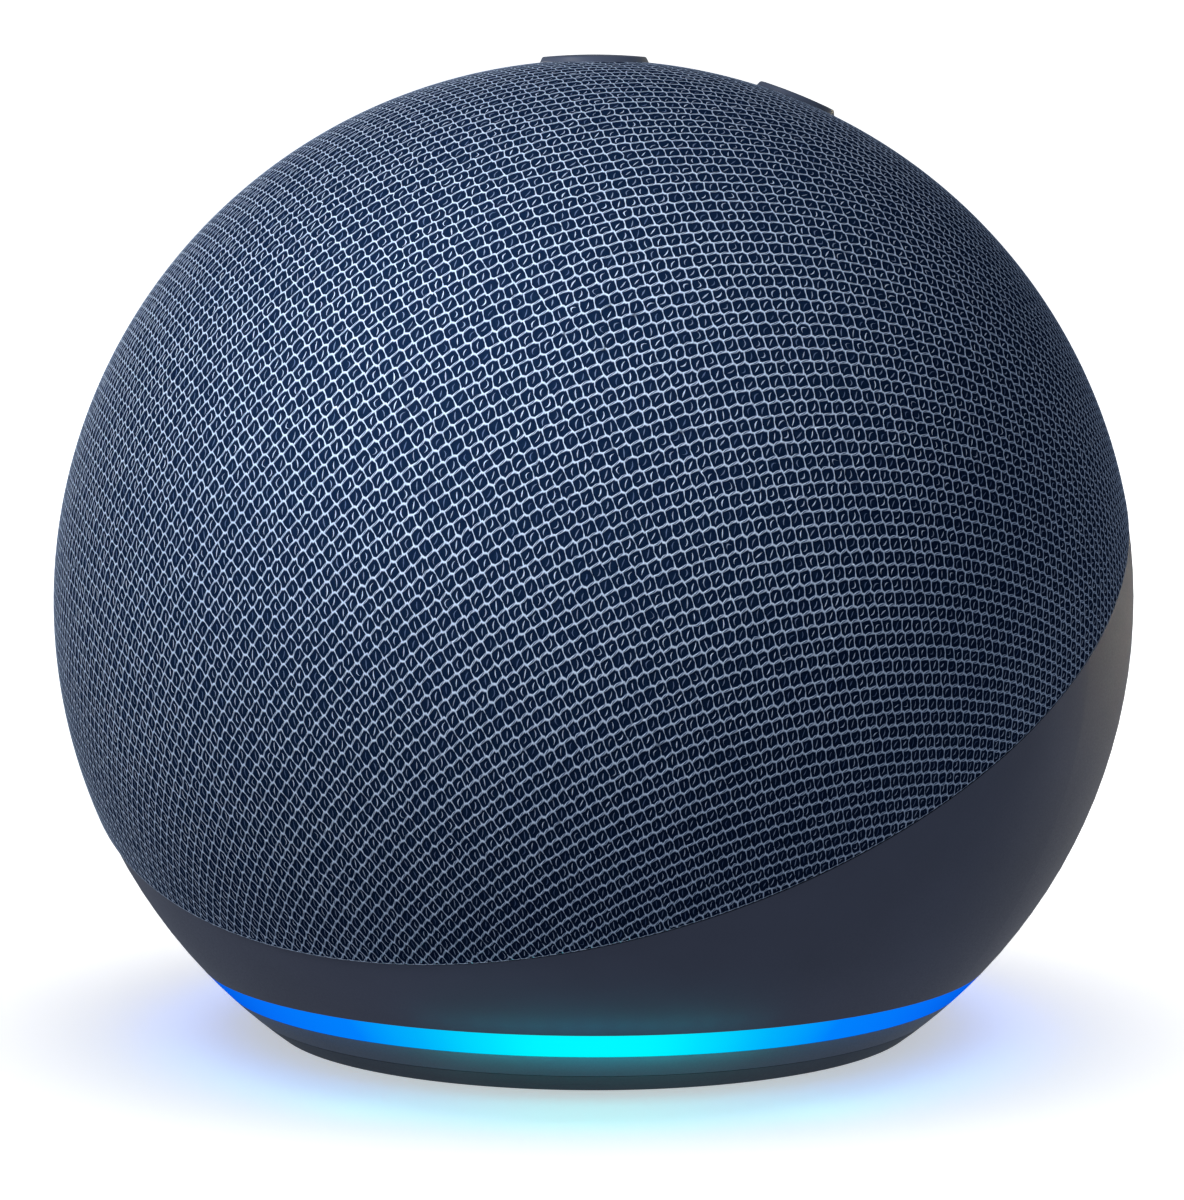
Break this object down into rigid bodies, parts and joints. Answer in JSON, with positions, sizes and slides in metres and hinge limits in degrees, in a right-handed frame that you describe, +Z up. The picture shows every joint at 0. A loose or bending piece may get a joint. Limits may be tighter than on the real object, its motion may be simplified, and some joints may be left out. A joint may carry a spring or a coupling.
{
  "type": "smart speaker",
  "caption": "Ball-shaped smart speaker with a fabric front and top, bare rear bowl, glowing base ring, press buttons on top and a round power inlet behind.",
  "frame": {"origin": "centre of the resting surface under the ball", "axes": "+Z up, front (driver side) towards -Y, power inlet towards +Y, volume-up side towards +X"},
  "size_m": [0.1, 0.1, 0.0904],
  "materials": {
    "knit_fabric": "knitted mesh, matte",
    "shell_plastic": "fine moulded texture, matte",
    "base_plastic": "fine moulded texture, matte",
    "black_plastic": "matte",
    "white_plastic": "matte",
    "button_plastic": "satin",
    "light_guide": "translucent, satin",
    "foot_rubber": "matte",
    "black_rubber": "matte",
    "steel": "zinc plated",
    "flex_film": "polyimide film",
    "cone_paper": "pressed pulp",
    "copper": "enamelled",
    "contact_brass": "nickel plated",
    "spider_cloth": "resin-stiffened weave",
    "ferrite": "sintered, matte",
    "foam": "open-cell foam",
    "lead_wire": "insulated",
    "circuit_board": "solder mask",
    "white_board": "white solder mask",
    "chip_plastic": "moulded epoxy",
    "thermal_rubber": "soft pad",
    "aluminium_plate": "rolled",
    "antenna_film": "foil on film",
    "led_lens": "clear lens"
  },
  "bodies": {
    "housing": {"fabric_cover": "knit_fabric", "grille_shell": "black_plastic", "joint_ring": "black_plastic", "rear_shell": "shell_plastic", "light_ring": "light_guide", "reflector_ring": "white_plastic", "base_cover": "base_plastic", "foot_pad": "foot_rubber", "switch_bodies": "black_plastic", "button_flex": "flex_film", "button_carrier": "black_plastic", "carrier_screws": "steel", "microphones": "steel", "mic_gaskets": "black_rubber", "driver_basket": "steel", "driver_surround": "black_rubber", "driver_spider": "spider_cloth", "top_plate": "steel", "ring_magnet": "ferrite", "pole_yoke": "steel", "driver_gasket": "black_rubber", "driver_screws": "steel", "driver_terminals": "copper", "speaker_baffle": "black_plastic", "enclosure_bowl": "black_plastic", "enclosure_screws": "steel", "baffle_foam": "foam", "isolation_mounts": "black_rubber", "lead_grommet": "black_rubber", "speaker_leads": "lead_wire", "lead_connector": "white_plastic", "main_board": "circuit_board", "board_parts": "chip_plastic", "shield_can": "steel", "thermal_pad": "thermal_rubber", "heat_spreader": "aluminium_plate", "power_jack": "black_plastic", "jack_pin": "contact_brass", "ribbon_cable": "flex_film", "ribbon_connectors": "white_plastic", "wifi_antennas": "antenna_film", "led_board": "white_board", "ring_leds": "led_lens", "led_header": "black_plastic", "chassis_frame": "black_plastic", "frame_screws": "steel", "board_screws": "steel", "base_screws": "steel"},
    "action_key": {"action_button": "button_plastic", "action_plunger": "white_plastic"},
    "volume_up_key": {"volume_up_button": "button_plastic", "volume_up_plunger": "white_plastic"},
    "volume_down_key": {"volume_down_button": "button_plastic", "volume_down_plunger": "white_plastic"},
    "mic_key": {"mic_button": "button_plastic", "mic_plunger": "white_plastic"},
    "diaphragm": {"driver_cone": "cone_paper", "dust_cap": "cone_paper", "voice_coil": "copper"}
  },
  "joints": [
    {"name": "action_press", "type": "slide", "parent": "housing", "child": "action_key", "axis": [0, 0, -1], "range_m": [0, 0.0004], "stiffness_N_per_m": 900, "springref_m": -0.0006},
    {"name": "volume_up_press", "type": "slide", "parent": "housing", "child": "volume_up_key", "axis": [-0.314, -0.2039, -0.9273], "range_m": [0, 0.0004], "stiffness_N_per_m": 900, "springref_m": -0.0006},
    {"name": "volume_down_press", "type": "slide", "parent": "housing", "child": "volume_down_key", "axis": [0.314, -0.2039, -0.9273], "range_m": [0, 0.0004], "stiffness_N_per_m": 900, "springref_m": -0.0006},
    {"name": "mic_press", "type": "slide", "parent": "housing", "child": "mic_key", "axis": [0, -0.4195, -0.9078], "range_m": [0, 0.0004], "stiffness_N_per_m": 900, "springref_m": -0.0006},
    {"name": "cone_travel", "type": "slide", "parent": "housing", "child": "diaphragm", "axis": [0, -0.9659, 0.2588], "range_m": [-0.0015, 0.0015], "stiffness_N_per_m": 1500, "deforming": ["driver_surround", "driver_spider"]}
  ]
}
